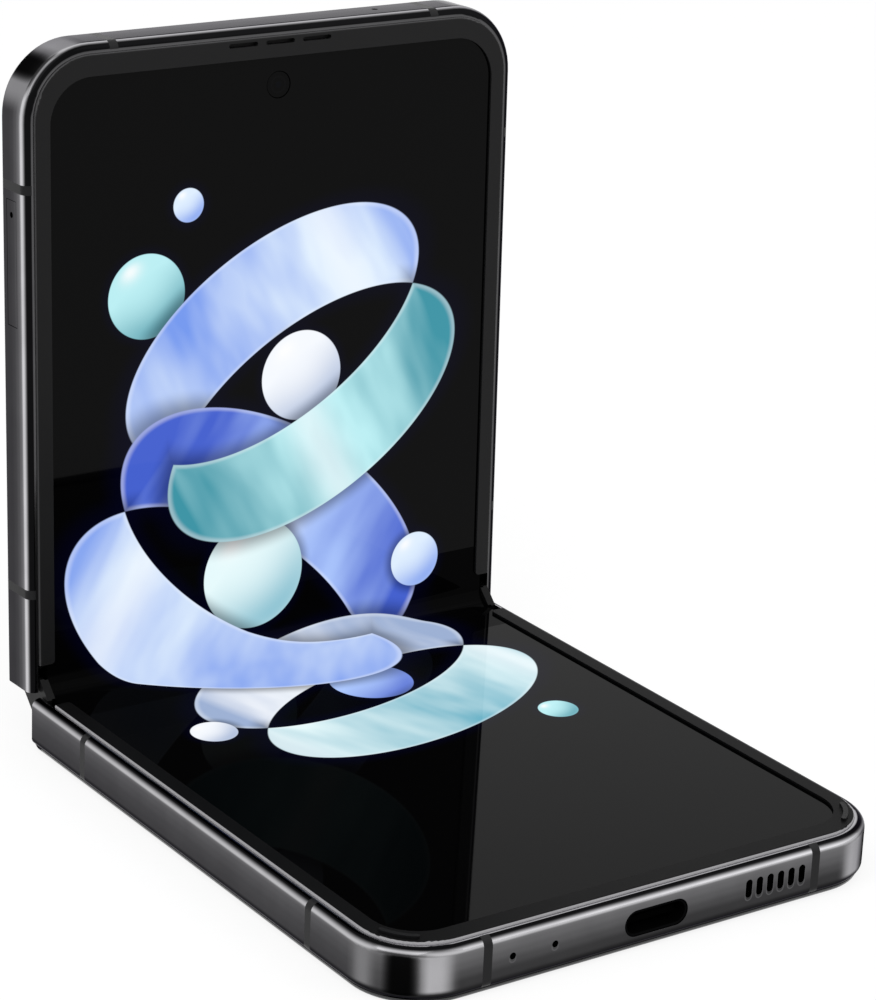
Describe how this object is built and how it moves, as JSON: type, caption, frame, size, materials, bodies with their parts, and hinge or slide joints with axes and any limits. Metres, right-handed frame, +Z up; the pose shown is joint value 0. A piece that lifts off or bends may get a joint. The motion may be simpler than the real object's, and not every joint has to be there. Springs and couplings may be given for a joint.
{
  "type": "foldable smartphone",
  "caption": "Clamshell smartphone standing half open, its two halves joined by a geared twin-axis hinge under one folding screen.",
  "frame": {"origin": "centre of the back face that the phone rests on", "axes": "+X to the phone's right seen from in front of the display, +Y from the free end towards the fold, +Z up; the screens open towards -Y"},
  "size_m": [0.0723, 0.0927, 0.0897],
  "materials": {
    "frame_metal": "polished graphite anodised aluminium",
    "antenna_plastic": "smooth dark grey plastic",
    "back_glass": "satin coated glass",
    "cover_glass": "clear glass over a black ground",
    "border_plastic": "fine matte dark grey plastic",
    "bumper_rubber": "soft dark rubber",
    "screen": "glossy flexible screen",
    "battery_foil": "wrapped pouch cell",
    "board": "solder-masked circuit board",
    "shield_steel": "pressed shield cans",
    "magnet": "nickel-plated magnet",
    "hinge_steel": "machined hinge steel",
    "spine_metal": "satin graphite aluminium",
    "spring_bronze": "spring bronze",
    "copper": "enamelled copper",
    "flex_film": "amber polyimide film",
    "mesh_steel": "fine blackened mesh",
    "brush_fibre": "short nylon bristle",
    "port_steel": "drawn steel shell",
    "black_plastic": "moulded black plastic",
    "ring_metal": "turned aluminium ring",
    "lens_glass": "coated lens glass",
    "led_plastic": "clear diffuser"
  },
  "bodies": {
    "lower_half": {"lower_frame": "frame_metal", "lower_antenna_bands": "antenna_plastic", "lower_back_glass": "back_glass", "lower_border": "border_plastic", "lower_bumpers": "bumper_rubber", "lower_screen": "screen", "lower_battery": "battery_foil", "lower_board": "board", "lower_magnets": "magnet", "lower_wing_plate": "hinge_steel", "lower_hinge_arms": "hinge_steel", "lower_hinge_screws": "hinge_steel", "usb_port": "port_steel", "usb_tongue": "black_plastic", "loudspeaker": "black_plastic", "speaker_mesh": "mesh_steel", "lower_microphones": "shield_steel", "vibration_motor": "shield_steel", "charging_coil": "copper"},
    "hinge_spine": {"spine_cover": "spine_metal", "spine_end_caps": "border_plastic", "hinge_bases": "hinge_steel", "friction_clips": "spring_bronze", "dust_brushes": "brush_fibre", "hinge_flex": "flex_film", "folding_screen": "screen"},
    "upper_half": {"upper_frame": "frame_metal", "upper_antenna_bands": "antenna_plastic", "upper_back_glass": "back_glass", "upper_border": "border_plastic", "upper_screen": "screen", "upper_battery": "battery_foil", "main_board": "board", "board_shields": "shield_steel", "upper_magnets": "magnet", "upper_wing_plate": "hinge_steel", "upper_hinge_arms": "hinge_steel", "upper_hinge_screws": "hinge_steel", "cover_window": "cover_glass", "cover_screen": "screen", "camera_rings": "ring_metal", "camera_lenses": "lens_glass", "camera_modules": "black_plastic", "flash_led": "led_plastic", "front_camera": "black_plastic", "earpiece": "black_plastic", "earpiece_mesh": "mesh_steel", "upper_microphone": "shield_steel", "card_reader": "shield_steel", "key_switches": "spring_bronze"},
    "lower_outer_pinions_pair": {"lower_outer_pinions": "spring_bronze"},
    "lower_inner_pinions_pair": {"lower_inner_pinions": "spring_bronze"},
    "upper_inner_pinions_pair": {"upper_inner_pinions": "spring_bronze"},
    "upper_outer_pinions_pair": {"upper_outer_pinions": "spring_bronze"},
    "side_key_body": {"side_key": "frame_metal"},
    "volume_key_body": {"volume_key": "frame_metal"},
    "card_tray_body": {"card_tray": "frame_metal"}
  },
  "joints": [
    {"name": "spine_fold", "type": "hinge", "parent": "lower_half", "child": "hinge_spine", "pos_m": [0, 0.03895, 0.0062], "axis": [1, 0, 0], "range_deg": [-44.25, 45], "deforming": ["folding_screen", "hinge_flex"]},
    {"name": "upper_fold", "type": "hinge", "parent": "hinge_spine", "child": "upper_half", "pos_m": [0, 0.04232, 0.00948], "axis": [1, 0, 0], "range_deg": [-44.25, 45]},
    {"name": "lower_outer_pinion_spin", "type": "hinge", "parent": "hinge_spine", "child": "lower_outer_pinions_pair", "pos_m": [0, 0.04082, 0.004], "axis": [1, 0, 0], "range_deg": [-109, 109]},
    {"name": "lower_inner_pinion_spin", "type": "hinge", "parent": "hinge_spine", "child": "lower_inner_pinions_pair", "pos_m": [0, 0.04204, 0.00518], "axis": [1, 0, 0], "range_deg": [-109, 109]},
    {"name": "upper_inner_pinion_spin", "type": "hinge", "parent": "hinge_spine", "child": "upper_inner_pinions_pair", "pos_m": [0, 0.04325, 0.00637], "axis": [1, 0, 0], "range_deg": [-109, 109]},
    {"name": "upper_outer_pinion_spin", "type": "hinge", "parent": "hinge_spine", "child": "upper_outer_pinions_pair", "pos_m": [0, 0.04447, 0.00755], "axis": [1, 0, 0], "range_deg": [-109, 109]},
    {"name": "side_key_press", "type": "slide", "parent": "upper_half", "child": "side_key_body", "axis": [-1, 0, 0], "range_m": [0, 0.00025], "stiffness_N_per_m": 6000, "springref_m": -0.0001},
    {"name": "volume_key_rock", "type": "hinge", "parent": "upper_half", "child": "volume_key_body", "pos_m": [0.03325, 0.04643, 0.06144], "axis": [0, -0.9997, 0.0262], "range_deg": [-1.4, 1.4], "stiffness_Nm_per_rad": 0.4},
    {"name": "card_tray_slide", "type": "slide", "parent": "upper_half", "child": "card_tray_body", "axis": [-1, 0, 0], "range_m": [0, 0.016]}
  ],
  "couplings": [
    {"joint": "upper_fold", "follows": "spine_fold", "ratio": 1},
    {"joint": "lower_outer_pinion_spin", "follows": "spine_fold", "ratio": 2.4},
    {"joint": "lower_inner_pinion_spin", "follows": "spine_fold", "ratio": -2.4},
    {"joint": "upper_inner_pinion_spin", "follows": "spine_fold", "ratio": 2.4},
    {"joint": "upper_outer_pinion_spin", "follows": "spine_fold", "ratio": -2.4}
  ]
}
